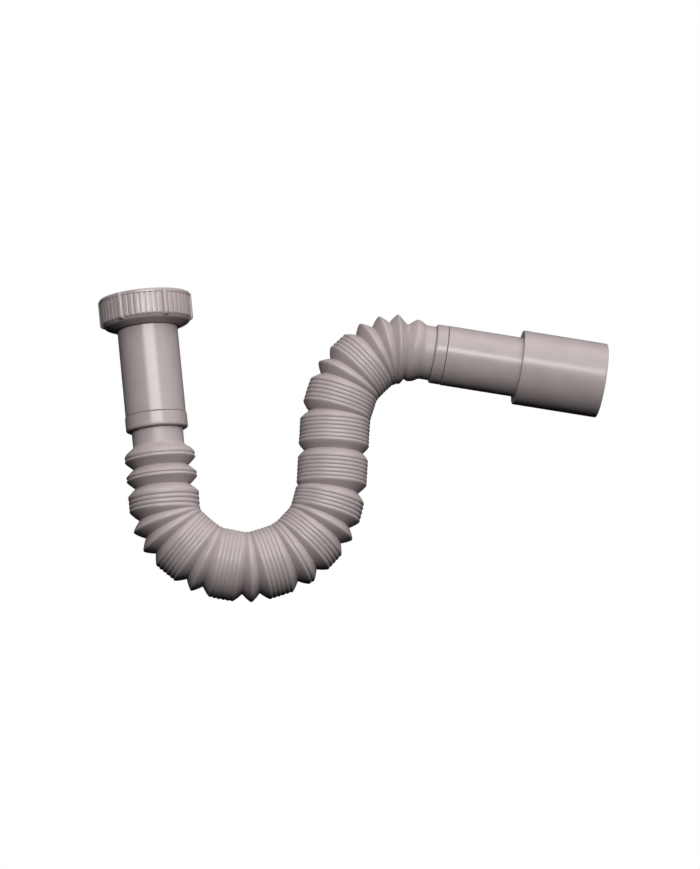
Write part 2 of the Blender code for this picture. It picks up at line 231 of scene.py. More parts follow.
class NutSizes(bpy.types.PropertyGroup):
    wall_radius: length("Wall radius", "Outside of the nut between its grips", 0.0294)
    top: length("Top", "Height of the nut's mouth above the washer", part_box("union_nut")[1].z)
    bottom: length("Bottom", "Height of the nut's lower end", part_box("union_nut")[0].z)
    cone: length("Cone", "Height of the shallow cone under the wall", 0.0030)
    foot_rounding: length("Foot rounding", "Radius between the wall and the cone", 0.0040)
    rim_height: length("Rim height", "Height of the plain rim round the mouth", 0.0023)
    rim_proud: length("Rim proud", "How far the plain rim stands off the wall", 0.0009)
    rib_end: length("Rib end", "Height of the ribs' lower ends", -0.0048)
    lug_end: length("Lug end", "Height of the lugs' lower ends", -0.0058)
    thread_radius: length("Thread radius", "Root radius of the G 1 1/2 thread", 0.0239)
    thread_depth: length("Thread depth", "Depth of the thread", 0.0014)
    thread_pitch: length("Thread pitch", "Eleven threads to the inch", 0.002309, precision=6)
    rib_count: IntProperty(
        name="Ribs", description="Places for ribs round the nut", default=48, min=8)
    rib_width: length("Rib width", "Width of a rib at its root", 0.0032)
    rib_proud: length("Rib proud", "How far a rib stands off the wall", 0.0006)
    lug_count: IntProperty(
        name="Lugs", description="Bigger grips that run up over the rim", default=6, min=2)
    lug_width: length("Lug width", "Width of a lug at its root", 0.0038)
    lug_proud: length("Lug proud", "How far a lug stands off the wall", 0.0016)
    lug_turn: degrees("Lug turn", "Angle of the first lug about the nut's axis", -66)


class TubeSizes(bpy.types.PropertyGroup):
    radius: length("Radius", "Outside of the 40 mm tubes", 0.0200)
    wall: length("Wall", "Wall of the 40 mm tubes", 0.0020)
    inlet_end: length("Inlet tube's end", "Height where the inlet tube meets its collar", -0.0672)
    outlet_length: length("Outlet tube", "Length of the outlet tube up to the sleeve", 0.0497)
    spigot_length: length("Spigot", "Length of a spigot inside the hose's cuff", 0.0140)
    inlet_collar: length("Inlet collar", "Length of the inlet collar", 0.0096)
    inlet_collar_proud: length("Inlet collar proud", "How far it stands off the tube's surface", 0.0005)
    outlet_collar: length("Outlet collar", "Length of the outlet collar", 0.0076)
    outlet_collar_proud: length(
        "Outlet collar proud", "How far it stands off the tube's surface", -0.0002)
    sleeve_radius: length("Sleeve radius", "Outside of the 50 mm sleeve", 0.0250)
    sleeve_wall: length("Sleeve wall", "Wall of the 50 mm sleeve", 0.0018)
    sleeve_length: length("Sleeve length", "Length of the 50 mm sleeve", 0.0567)
    edge_rounding: length("Edge rounding", "Radius on the moulded edges", 0.0004)
    steps: IntProperty(
        name="Steps", description="Facets round each turned piece", default=160, min=24)


class HoseSizes(bpy.types.PropertyGroup):
    cuff_radius: length("Cuff radius", "Outside of the plain cuffs", 0.0170)
    cuff_wall: length("Cuff wall", "Wall of the plain cuffs", 0.0012)
    rim_radius: length("Rim radius", "Outside of a rim", 0.02325)
    last_rim_radius: length("Last rim radius", "Outside of the rim before the outlet cuff", 0.0208)
    wall: length("Wall", "Wall of the pleats", 0.0010)
    open_depth: length("Open depth", "Depth of a pleat that is drawn open", 0.0054)
    nested_depth: length("Nested depth", "Depth of the line between two nested rims", 0.00048)
    shallowest_depth: length("Shallowest depth", "Depth on the tight side of a bend", 0.0003)
    crest_land: length("Crest land", "Half of the flat on top of a rim in the inlet limb", 0.0014)
    sharp_land: length("Sharp land", "Half of the flat on top of any other rim", 0.0002)
    twin_depth: length("Twin depth", "Depth of the line that parts a limb rim's two folds", 0.00045)
    twin_reach: length("Twin reach", "Half of that line's width", 0.0010)
    inlet_cuff: length("Inlet cuff", "Length of the inlet cuff below its collar", 0.0102)
    inlet_flare: length("Inlet flare", "Length of the flare up to the first rim", 0.0085)
    outlet_flare: length("Outlet flare", "Length of the flare after the last rim", 0.0070)
    outlet_cuff: length("Outlet cuff", "Length of the outlet cuff before its collar", 0.0061)
    outlet_cuff_swell: length(
        "Outlet cuff swell", "How much wider that cuff is before its collar", 0.0011)
    unevenness: length("Unevenness", "How much the rims differ in radius", 0.00008)
    sides: IntProperty(
        name="Sides", description="Facets round the hose", default=128, min=16)


class FinishColours(bpy.types.PropertyGroup):
    moulded: FloatVectorProperty(
        name="Moulded parts", description="Grey of the injection-moulded parts",
        subtype="COLOR", size=3, default=linear("#AEA2A2"), min=0.0, max=1.0)
    hose: FloatVectorProperty(
        name="Hose", description="Grey of the blow-moulded hose",
        subtype="COLOR", size=3, default=linear("#AFA3A3"), min=0.0, max=1.0)


class StageSizes(bpy.types.PropertyGroup):
    distance: length("Camera distance", "From the camera to the trap's middle", 2.2)
    azimuth: degrees("Camera azimuth", "Turn of the camera about the vertical", -6.02)
    elevation: degrees("Camera elevation", "Height of the camera as an angle", -9.45)
    roll: degrees("Camera roll", "Turn of the camera about its own axis", 6.096)
    lens: FloatProperty(name="Lens", description="Focal length in millimetres", default=137.5)
    floor_drop: length("Floor", "How far the floor lies below the trap", 0.35)
    key_power: FloatProperty(
        name="Key light", description="Power of the long soft box in front", default=13.6, unit="POWER")
    back_power: FloatProperty(
        name="Back light", description="Power of the soft box behind", default=9.0, unit="POWER")


def set_inputs(tree, node, inputs):
    """Set a node's inputs to values, or link them to other sockets."""
    for key, value in inputs.items():
        if isinstance(value, bpy.types.NodeSocket):
            tree.links.new(value, node.inputs[key])
        else:
            node.inputs[key].default_value = value


def add_node(tree, kind, settings=None, inputs=None):
    """A new node with its settings and inputs."""
    node = tree.nodes.new(kind)
    for name, value in (settings or {}).items():
        setattr(node, name, value)
    set_inputs(tree, node, inputs or {})
    return node


def calc(tree, operation, *values):
    """The result of a maths node on numbers or sockets."""
    return add_node(
        tree, "ShaderNodeMath", {"operation": operation}, dict(enumerate(values))).outputs[0]


def map_range(tree, value, ends, results=(0.0, 1.0), **settings):
    """A value carried over from the range between ends to the range between results."""
    return add_node(tree, "ShaderNodeMapRange", settings, {
        "Value": value, "From Min": ends[0], "From Max": ends[1],
        "To Min": results[0], "To Max": results[1]}).outputs["Result"]


def new_material(name):
    """A new material's node tree, its shader and the place on the object."""
    material = bpy.data.materials.new(name)
    material.use_nodes = True
    tree = material.node_tree
    place = add_node(tree, "ShaderNodeTexCoord").outputs["Object"]
    return tree, tree.nodes["Principled BSDF"], place


def polypropylene(name, colour, roughness, cloud_mm, grain_mm, grain_height_mm):
    """Grey polypropylene: satin, a little waxy, with faint clouds where the melt flowed."""
    tree, shader, place = new_material(name)
    clouds = add_node(tree, "ShaderNodeTexNoise", inputs={
        "Vector": place, "Scale": 1000 / cloud_mm, "Detail": 3.0, "Roughness": 0.55})
    shades = add_node(tree, "ShaderNodeValToRGB", inputs={"Fac": clouds.outputs["Fac"]})
    dark, light = shades.color_ramp.elements
    dark.position, light.position = 0.3, 0.7
    dark.color = (*(0.94 * value for value in colour), 1.0)
    light.color = (*(min(1.0, 1.05 * value) for value in colour), 1.0)
    gloss = map_range(tree, clouds.outputs["Fac"], (0.0, 1.0), (roughness - 0.04, roughness + 0.05))
    grain = add_node(tree, "ShaderNodeTexNoise", inputs={
        "Vector": place, "Scale": 1000 / grain_mm, "Detail": 2.0})
    bump = add_node(tree, "ShaderNodeBump", inputs={
        "Strength": 0.5, "Distance": grain_height_mm / 1000, "Height": grain.outputs["Fac"]})
    set_inputs(tree, shader, {
        "Base Color": shades.outputs["Color"], "Roughness": gloss,
        "Normal": bump.outputs["Normal"], "IOR": 1.49})


def moulded_rubber(name, colour, roughness, grain_mm):
    """Black rubber out of a matt mould, with a fine even grain."""
    tree, shader, place = new_material(name)
    grain = add_node(tree, "ShaderNodeTexNoise", inputs={"Vector": place, "Scale": 1000 / grain_mm})
    gloss = map_range(tree, grain.outputs["Fac"], (0.0, 1.0), (roughness - 0.05, roughness + 0.05))
    bump = add_node(tree, "ShaderNodeBump", inputs={
        "Strength": 0.6, "Distance": 0.00005, "Height": grain.outputs["Fac"]})
    set_inputs(tree, shader, {
        "Base Color": (*colour, 1.0), "Roughness": gloss,
        "Normal": bump.outputs["Normal"], "IOR": 1.52})


def rounded_outline(corners, points=5):
    """A closed outline whose corners (x, y, rounding) become arcs with a short land beside."""
    outline = []
    count = len(corners)
    for i, (x, y, rounding) in enumerate(corners):
        here = Vector((x, y))
        if rounding == 0.0:
            outline.append((x, y))
            continue
        to_before = Vector(corners[i - 1][:2]) - here
        to_after = Vector(corners[(i + 1) % count][:2]) - here
        half = to_before.angle(to_after) / 2
        reach = rounding / math.tan(half)
        before, after = to_before.normalized(), to_after.normalized()
        centre = here + (before + after).normalized() * rounding / math.sin(half)
        start, finish = here + before * reach - centre, here + after * reach - centre
        if to_before.length > 3 * reach + 2 * rounding:
            outline.append(tuple(here + before * (reach + rounding)))
        for j in range(points):
            spoke = start.lerp(finish, j / (points - 1)).normalized() * rounding
            outline.append(tuple(centre + spoke))
        if to_after.length > 3 * reach + 2 * rounding:
            outline.append(tuple(here + after * (reach + rounding)))
    return outline


def turned_shape(outline, steps):
    """A closed (radius, height) outline turned about Z, as a bmesh."""
    shape = bmesh.new()
    corners = [shape.verts.new((radius, 0.0, height)) for radius, height in outline]
    edges = [shape.edges.new(pair) for pair in zip(corners, corners[1:] + corners[:1])]
    bmesh.ops.spin(
        shape, geom=corners + edges, axis=(0, 0, 1), cent=(0, 0, 0),
        angle=math.tau, steps=steps, use_merge=True)
    bmesh.ops.recalc_face_normals(shape, faces=shape.faces)
    return shape


def mesh_from(shape, name):
    """The mesh of a bmesh, which is freed."""
    mesh = bpy.data.meshes.new(name)
    shape.to_mesh(mesh)
    shape.free()
    return mesh


def add_object(name, data):
    """An object for a mesh, lamp or camera, linked to the scene."""
    made = bpy.data.objects.new(name, data)
    bpy.context.scene.collection.objects.link(made)
    return made


def new_piece(name, mesh, material, sharp_degrees=38):
    """An object for a finished mesh, shaded smooth between its sharp edges."""
    mesh.name = name
    mesh.materials.clear()
    mesh.materials.append(material)
    mesh.shade_smooth()
    mesh.set_sharp_from_angle(angle=math.radians(sharp_degrees))
    piece = add_object(name, mesh)
    return piece


def turned_piece(name, corners, material, place=None):
    """A turned piece whose outline has rounded corners, moved to its place in its own mesh."""
    shape = turned_shape(rounded_outline(corners), bpy.context.scene.trap_tubes.steps)
    if place is not None:
        bmesh.ops.transform(shape, matrix=place, verts=shape.verts)
    return new_piece(name, mesh_from(shape, name), material)


def moulded_piece(name, corners, place=None):
    """A turned piece in the moulded parts' grey."""
    material = bpy.data.materials["moulded_polypropylene"]
    return turned_piece(name, corners, material, place)


def grown_mesh(source, tree, values):
    """The plain mesh that a Geometry Nodes tree grows from source, which is removed."""
    modifier = source.modifiers.new("grow", "NODES")
    modifier.node_group = tree
    for item in tree.interface.items_tree:
        if item.in_out == "INPUT" and item.name in values:
            modifier[item.identifier] = values[item.name]
    bpy.context.view_layer.update()
    evaluated = source.evaluated_get(bpy.context.evaluated_depsgraph_get())
    mesh = bpy.data.meshes.new_from_object(evaluated)
    source.modifiers.remove(modifier)
    bpy.data.objects.remove(source, do_unlink=True)
    return mesh


def new_tree(name, inputs):
    """A Geometry Nodes tree with a geometry in and out, and its named inputs."""
    tree = bpy.data.node_groups.new(name, "GeometryNodeTree")
    tree.interface.new_socket("Geometry", in_out="OUTPUT", socket_type="NodeSocketGeometry")
    tree.interface.new_socket("Geometry", in_out="INPUT", socket_type="NodeSocketGeometry")
    for label, kind in inputs:
        tree.interface.new_socket(label, in_out="INPUT", socket_type="NodeSocket" + kind)
    return tree


def finish_tree(tree, geometry, material):
    """The end of a tree: the instances made real, with their material."""
    real = add_node(tree, "GeometryNodeRealizeInstances", inputs={0: geometry})
    finish = add_node(tree, "GeometryNodeSetMaterial", inputs={
        0: real.outputs[0], "Material": material})
    add_node(tree, "NodeGroupOutput", inputs={0: finish.outputs[0]})


def grip_tree():
    """Copies of one grip turned about Z, every one but those where a bigger grip stands."""
    tree = new_tree("grips round a nut", [
        ("Grip", "Object"),
        ("Count", "Int"),
        ("First angle", "Float"),
        ("Left out", "Int"),
        ("Material", "Material"),
    ])
    entry = add_node(tree, "NodeGroupInput").outputs
    grip = add_node(tree, "GeometryNodeObjectInfo", inputs={"Object": entry["Grip"]})
    spots = add_node(tree, "GeometryNodePoints", inputs={"Count": entry["Count"]})
    index = add_node(tree, "GeometryNodeInputIndex").outputs["Index"]
    step = calc(tree, "DIVIDE", math.tau, entry["Count"])
    angle = calc(tree, "MULTIPLY_ADD", index, step, entry["First angle"])
    turn = add_node(tree, "ShaderNodeCombineXYZ", inputs={"Z": angle})
    rotation = add_node(tree, "FunctionNodeEulerToRotation", inputs={0: turn.outputs[0]})
    place_in_gap = calc(tree, "MODULO", index, entry["Left out"])
    kept = add_node(tree, "FunctionNodeCompare", {"data_type": "FLOAT", "operation": "GREATER_THAN"}, {
        0: place_in_gap, 1: 0.5})
    all_kept = add_node(tree, "FunctionNodeCompare", {"data_type": "INT", "operation": "LESS_EQUAL"}, {
        2: entry["Left out"], 3: 1})
    chosen = add_node(tree, "FunctionNodeBooleanMath", {"operation": "OR"}, {
        0: kept.outputs[0], 1: all_kept.outputs[0]})
    copies = add_node(tree, "GeometryNodeInstanceOnPoints", inputs={
        "Points": spots.outputs[0], "Selection": chosen.outputs[0],
        "Instance": grip.outputs["Geometry"], "Rotation": rotation.outputs[0]})
    both = add_node(tree, "GeometryNodeJoinGeometry")
    tree.links.new(entry["Geometry"], both.inputs[0])
    tree.links.new(copies.outputs[0], both.inputs[0])
    finish_tree(tree, both.outputs[0], entry["Material"])
    return tree


def faces_between(shape, rings):
    """The new faces of a solid whose skin runs from ring to ring of points."""
    made = []
    for near, far in zip(rings, rings[1:]):
        for i in range(len(near)):
            j = (i + 1) % len(near)
            made.append(shape.faces.new((near[i], near[j], far[j], far[i])))
    return made + [shape.faces.new(rings[0]), shape.faces.new(rings[-1])]


def nut_radius_at(height, land_radius):
    """The nut's outside at a height: its wall, and the rounding under it."""
    nut = bpy.context.scene.trap_nut
    slope = math.atan2(nut.cone, nut.wall_radius - land_radius)
    tangent = nut.bottom + nut.cone + nut.foot_rounding * (1 - math.sin(slope)) / math.cos(slope)
    sunk = min(nut.foot_rounding, max(0.0, tangent - height))
    return nut.wall_radius - nut.foot_rounding + math.sqrt(nut.foot_rounding ** 2 - sunk ** 2)


def grip_object(name, land_radius, proud, width, tip_share, low, high, slope):
    """One grip at +X: a rounded ridge from low to high that runs into the wall at its foot."""
    shape = bmesh.new()
    tip = tip_share * width
    section = [
        (-width / 2, -0.4), (-width / 2, 0.0), (-tip / 2 - 0.1 * width, 0.62),
        (-tip / 2, 0.9), (-0.3 * tip, 1.0), (0.3 * tip, 1.0),
        (tip / 2, 0.9), (tip / 2 + 0.1 * width, 0.62), (width / 2, 0.0), (width / 2, -0.4),
    ]
    heights = [(low, -0.2), (low + 0.4 * slope, 0.55), (low + slope, 0.95)]
    heights += [(low + slope + 0.0005 * i, 1.0) for i in range(1, 5)]
    heights += [(high - 0.0004, 1.0), (high - 0.0001, 0.92), (high, 0.7)]
    rings = []
    for height, share in heights:
        ring = []
        for across, out in section:
            stand = proud * (min(out, share) if out > 0 else out)
            wall = nut_radius_at(height, land_radius)
            ring.append(shape.verts.new((wall + stand, across, height)))
        rings.append(ring)
    bmesh.ops.recalc_face_normals(shape, faces=faces_between(shape, rings))
    return add_object(name, mesh_from(shape, name))


def add_thread(shape, root, depth, pitch, low, high, steps_per_turn=96):
    """A female thread: one ridge wound up the bore from low to high, fading out at both ends."""
    turns = (high - low) / pitch
    count = int(turns * steps_per_turn)
    section = [(0.0006, -0.46), (0.0, -0.46), (-1.0, -0.08), (-1.0, 0.08), (0.0, 0.46), (0.0006, 0.46)]
    rings = []
    for i in range(count + 1):
        angle = math.tau * i / steps_per_turn
        fade = min(1.0, i / (steps_per_turn / 3), (count - i) / (steps_per_turn / 3))
        ring = []
        for out, along in section:
            radius = root + (out if out > 0 else out * depth * max(fade, 0.02))
            height = low + pitch * i / steps_per_turn + along * pitch
            ring.append(shape.verts.new((radius * math.cos(angle), radius * math.sin(angle), height)))
        rings.append(ring)
    bmesh.ops.recalc_face_normals(shape, faces=faces_between(shape, rings))


def outlet_matrix():
    """From a piece turned about Z at the origin to the outlet's axis, with +Z running out."""
    x, z, heading = walk_hose()[0][-1]
    return Matrix.Translation((x, 0.0, z)) @ Matrix.Rotation(math.pi - heading, 4, "Y")


def outlet_step():
    """From the last rim to the outlet tube's step, along the outlet's axis."""
    hose, tubes = bpy.context.scene.trap_hose, bpy.context.scene.trap_tubes
    return hose.outlet_flare + hose.outlet_cuff + tubes.outlet_collar + CLEARANCE


def spigot_radius():
    """Outside of a spigot, which slides into the hose's cuff."""
    hose = bpy.context.scene.trap_hose
    return hose.cuff_radius - hose.cuff_wall - CLEARANCE


def walk_hose():
    """Every rim (x, z, heading) from the inlet on, and every pleat between two rims."""
    hose, tubes = bpy.context.scene.trap_hose, bpy.context.scene.trap_tubes
    collar_end = tubes.inlet_end - CLEARANCE - tubes.inlet_collar
    x, z, heading = 0.0, collar_end - hose.inlet_cuff - hose.inlet_flare, 0.0
    rims = [(x, z, heading)]
    pleats = []
    for count, stand, gap, side in INLET_GROUPS + OUTLET_GROUPS:
        spacings = [(stand, True)] * (count - 1)
        if gap is not None:
            spacings.append((gap, False))
        for (outer, inner), is_nested in spacings:
            half = (outer + inner) / 4
            x += half * math.sin(heading)
            z -= half * math.cos(heading)
            heading += side * (outer - inner) / (2 * hose.rim_radius)
            x += half * math.sin(heading)
            z -= half * math.cos(heading)
            rims.append((x, z, heading))
            pleats.append((outer, inner, side, is_nested))
    return rims, pleats


def station(place, base, mean=1.0, swing=0.0, near=0.0, land=0.0, fold=0.0, lift=0.0):
    """One ring of the hose: where it is, its radius, and how the pleat there folds."""
    x, z, heading = place
    return {
        "centre": (x, 0.0, z), "heading": heading, "base": base, "mean": mean,
        "swing": swing, "near": near, "land": land, "fold": fold, "lift": lift,
    }


def place_ahead(place, distance):
    """A place straight on along its own heading."""
    x, z, heading = place
    return (x + distance * math.sin(heading), z - distance * math.cos(heading), heading)


def place_between(first, second, share):
    """A place on the smooth curve from one rim to the next, turned by the same share."""
    heading = (1 - share) * first[2] + share * second[2]
    chord = math.dist(first[:2], second[:2])
    bow = chord * (second[2] - first[2]) / 8
    middle = (first[2] + second[2]) / 2
    out = 4 * share * (1 - share) * bow
    x = (1 - share) * first[0] + share * second[0] - out * math.cos(middle)
    z = (1 - share) * first[1] + share * second[1] - out * math.sin(middle)
    return (x, z, heading)


def twin_line(rim, distance):
    """How far the skin sinks between the two folds of a limb rim, at a distance from it."""
    hose = bpy.context.scene.trap_hose
    if rim >= TWIN_RIMS:
        return 0.0
    return hose.twin_depth * max(0.0, 1 - (distance / hose.twin_reach) ** 2)


def pleat_stations(rims, pleats, i, crests, shares):
    """The skin's rings in the pleat after rim i, for the given shares of the way."""
    hose = bpy.context.scene.trap_hose
    outer, inner, side, is_nested = pleats[i]
    mean, swing = (outer + inner) / 2, -side * (outer - inner) / 2
    stations = []
    for share in shares:
        place = place_between(rims[i], rims[i + 1], share)
        base = (1 - share) * crests[i] + share * crests[i + 1]
        base -= twin_line(i, share * mean) + twin_line(i + 1, (1 - share) * mean)
        land = hose.crest_land if i < TWIN_RIMS else hose.sharp_land
        stations.append(station(
            place, base, mean=mean, swing=swing, near=min(share, 1 - share), land=land, fold=1.0))
    return stations


def bore_stations(rims, pleats, i, crests):
    """The bore's rings at rim i and in the groove after it."""
    hose = bpy.context.scene.trap_hose
    straight = hose.rim_radius - hose.open_depth - hose.wall
    stations = []
    before = pleats[i - 1] if i > 0 else (*OPEN, 1, False)
    after = pleats[i] if i < len(pleats) else (*OPEN, 1, False)
    if not before[3] and not after[3]:
        outer, inner = min(before[0], after[0]), min(before[1], after[1])
        side = before[2]
        gain = crests[i] - RIM_WALLS * hose.wall - straight
        stations.append(station(
            rims[i], straight, mean=(outer + inner) / 2, swing=-side * (outer - inner) / 2,
            lift=gain))
    if i < len(pleats) and not after[3]:
        stations.append(station(place_between(rims[i], rims[i + 1], 0.5), straight))
    return stations


def skin_places(is_nested):
    """Shares of the way from one rim to just before the next."""
    places = NESTED_PLACES if is_nested else OPEN_PLACES
    return list(places) + [1 - share for share in reversed(places[1:-1])]


def hose_stations(first, last):
    """The rings of one piece of the hose from rim first to rim last: its skin, then its bore."""
    hose, tubes = bpy.context.scene.trap_hose, bpy.context.scene.trap_tubes
    rims, pleats = walk_hose()
    chance = random.Random(11)
    crests = [hose.rim_radius + hose.unevenness * chance.uniform(-1, 1) for _ in rims]
    crests[0] = crests[1] = hose.rim_radius
    crests[-1] = hose.last_rim_radius
    cuff, cuff_bore = hose.cuff_radius, hose.cuff_radius - hose.cuff_wall
    skin, bore = [], []
    if first == 0:
        top = (0.0, tubes.inlet_end - 2 * CLEARANCE, 0.0)
        flare = place_ahead(rims[0], -hose.inlet_flare)
        skin += [station(top, cuff), station(place_ahead(top, 0.010), cuff)]
        skin += flare_stations(flare, rims[0], cuff, crests[0], hose.crest_land)
        for distance in (0.75 * hose.twin_reach, 0.4 * hose.twin_reach):
            place = place_ahead(rims[0], -distance)
            skin.append(station(place, crests[0] - twin_line(0, distance)))
        bore += [station(top, cuff_bore), station(flare, cuff_bore)]
    else:
        shares = [share for share in skin_places(False) if share >= 0.5]
        skin += pleat_stations(rims, pleats, first - 1, crests, shares)
        bore += bore_stations(rims, pleats, first - 1, crests)[-1:]
    for i in range(first, last + 1):
        if i < len(pleats):
            shares = skin_places(pleats[i][3])
            if i == last:
                shares = [share for share in shares if share <= 0.5]
            skin += pleat_stations(rims, pleats, i, crests, shares)
        bore += bore_stations(rims, pleats, i, crests)
    if last == len(rims) - 1:
        flare = place_ahead(rims[-1], hose.outlet_flare)
        end = place_ahead(rims[-1], outlet_step() - 2 * CLEARANCE)
        swollen = cuff + hose.outlet_cuff_swell
        collar_start = place_ahead(flare, hose.outlet_cuff)
        skin += flare_stations(flare, rims[-1], swollen, crests[-1], hose.sharp_land)[::-1]
        skin += [station(place_ahead(collar_start, -0.0006), swollen)]
        skin += [station(place_ahead(collar_start, -0.0002), cuff), station(end, cuff)]
        bore += [station(flare, cuff_bore), station(end, cuff_bore)]
    return skin + bore[::-1]


def flare_stations(cuff_place, rim_place, cuff, crest, land):
    """Rings from the end of a cuff up to the rim's land: a soft fillet, then a straight flank."""
    stations = []
    way = math.dist(cuff_place[:2], rim_place[:2]) - land
    ahead = 1 if (rim_place[1] < cuff_place[1]) == (math.cos(rim_place[2]) > 0) else -1
    for share in FLARE_PLACES:
        rise = max(0.0, share)
        rise = rise * rise / (rise * rise + FLARE_SOFTNESS * (1 - rise)) if rise > 0 else 0.0
        place = place_ahead(cuff_place, ahead * share * way)
        stations.append(station(place, cuff + min(1.0, rise) * (crest - cuff)))
    return stations


def hose_tree():
    """The hose's skin round a line of stations, with each pleat folded as its pitch asks."""
    tree = new_tree("bellows skin", [
        ("Sides", "Int"),
        ("Open pitch", "Float"),
        ("Nested pitch", "Float"),
        ("Open depth", "Float"),
        ("Nested depth", "Float"),
        ("Shallowest depth", "Float"),
        ("Open shape", "Float"),
        ("Nested shape", "Float"),
        ("Material", "Material"),
    ])
    entry = add_node(tree, "NodeGroupInput").outputs
    here = {
        name: add_node(tree, "GeometryNodeInputNamedAttribute", {
            "data_type": "FLOAT_VECTOR" if name == "centre" else "FLOAT"}, {"Name": name}).outputs[0]
        for name in ("centre", "heading", "base", "mean", "swing", "near", "land", "fold", "lift", "turn")
    }
    line = add_node(tree, "GeometryNodeMeshToCurve", inputs={0: entry["Geometry"]})
    ring = add_node(tree, "GeometryNodeCurvePrimitiveCircle", inputs={
        "Resolution": entry["Sides"], "Radius": 0.001})
    index = add_node(tree, "GeometryNodeInputIndex").outputs["Index"]
    marked = add_node(tree, "GeometryNodeStoreNamedAttribute", {"data_type": "FLOAT"}, {
        "Geometry": ring.outputs["Curve"], "Name": "turn",
        "Value": calc(tree, "DIVIDE", index, entry["Sides"])})
    tube = add_node(tree, "GeometryNodeCurveToMesh", inputs={
        "Curve": line.outputs[0], "Profile Curve": marked.outputs[0]})

    angle = calc(tree, "MULTIPLY", here["turn"], math.tau)
    cosine = calc(tree, "COSINE", angle)
    sine = calc(tree, "SINE", angle)
    pitch = calc(tree, "MULTIPLY_ADD", cosine, here["swing"], here["mean"])
    pitches = (entry["Nested pitch"], entry["Open pitch"])
    drawn = map_range(tree, pitch, pitches)
    free_depth = map_range(
        tree, pitch, pitches, (entry["Nested depth"], entry["Open depth"]), clamp=False)
    depth = calc(tree, "MAXIMUM", free_depth, entry["Shallowest depth"])
    land = calc(tree, "MINIMUM", here["land"], calc(tree, "MULTIPLY", pitch, WIDEST_LAND))
    from_rim = calc(tree, "MULTIPLY", here["near"], pitch)
    way_down = map_range(tree, from_rim, (land, calc(tree, "MULTIPLY", pitch, 0.5)))
    power = map_range(tree, drawn, (0.0, 1.0), (entry["Nested shape"], entry["Open shape"]))
    sunk = calc(tree, "MULTIPLY", calc(tree, "POWER", way_down, power), depth)
    drop = calc(tree, "MULTIPLY", sunk, here["fold"])
    lifted = calc(tree, "MULTIPLY_ADD", here["lift"], drawn, here["base"])
    radius = calc(tree, "SUBTRACT", lifted, drop)

    inward = calc(tree, "MULTIPLY", radius, cosine)
    offset = add_node(tree, "ShaderNodeCombineXYZ", inputs={
        "X": calc(tree, "MULTIPLY", inward, calc(tree, "COSINE", here["heading"])),
        "Y": calc(tree, "MULTIPLY", radius, sine),
        "Z": calc(tree, "MULTIPLY", inward, calc(tree, "SINE", here["heading"]))})
    point = add_node(tree, "ShaderNodeVectorMath", {"operation": "ADD"}, {
        0: here["centre"], 1: offset.outputs[0]})
    placed = add_node(tree, "GeometryNodeSetPosition", inputs={
        "Geometry": tube.outputs[0], "Position": point.outputs[0]})
    finish_tree(tree, placed.outputs[0], entry["Material"])
    return tree


def station_line(name, stations):
    """A closed line of points that carries the stations as attributes."""
    mesh = bpy.data.meshes.new(name)
    count = len(stations)
    mesh.from_pydata([s["centre"] for s in stations], [(i, (i + 1) % count) for i in range(count)], [])
    for key in stations[0]:
        if key == "centre":
            attribute = mesh.attributes.new(key, "FLOAT_VECTOR", "POINT")
            attribute.data.foreach_set("vector", [v for s in stations for v in s[key]])
        else:
            attribute = mesh.attributes.new(key, "FLOAT", "POINT")
            attribute.data.foreach_set("value", [s[key] for s in stations])
    return add_object(name, mesh)


def hose_piece(name, first, last, tree, material):
    """One piece of the hose as a plain mesh, grown from its stations."""
    hose = bpy.context.scene.trap_hose
    mesh = grown_mesh(station_line(name + "_line", hose_stations(first, last)), tree, {
        "Sides": hose.sides, "Open pitch": OPEN[0], "Nested pitch": NESTED[0],
        "Open depth": hose.open_depth, "Nested depth": hose.nested_depth,
        "Shallowest depth": hose.shallowest_depth, "Open shape": OPEN_SHAPE,
        "Nested shape": NESTED_SHAPE, "Material": material,
    })
    helpers = {"turn", *station((0.0, 0.0, 0.0), 0.0)}
    for key in [attribute.name for attribute in mesh.attributes if attribute.name in helpers]:
        mesh.attributes.remove(mesh.attributes[key])
    shape = bmesh.new()
    shape.from_mesh(mesh)
    bmesh.ops.recalc_face_normals(shape, faces=shape.faces)
    shape.to_mesh(mesh)
    shape.free()
    return new_piece(name, mesh, material, 60)


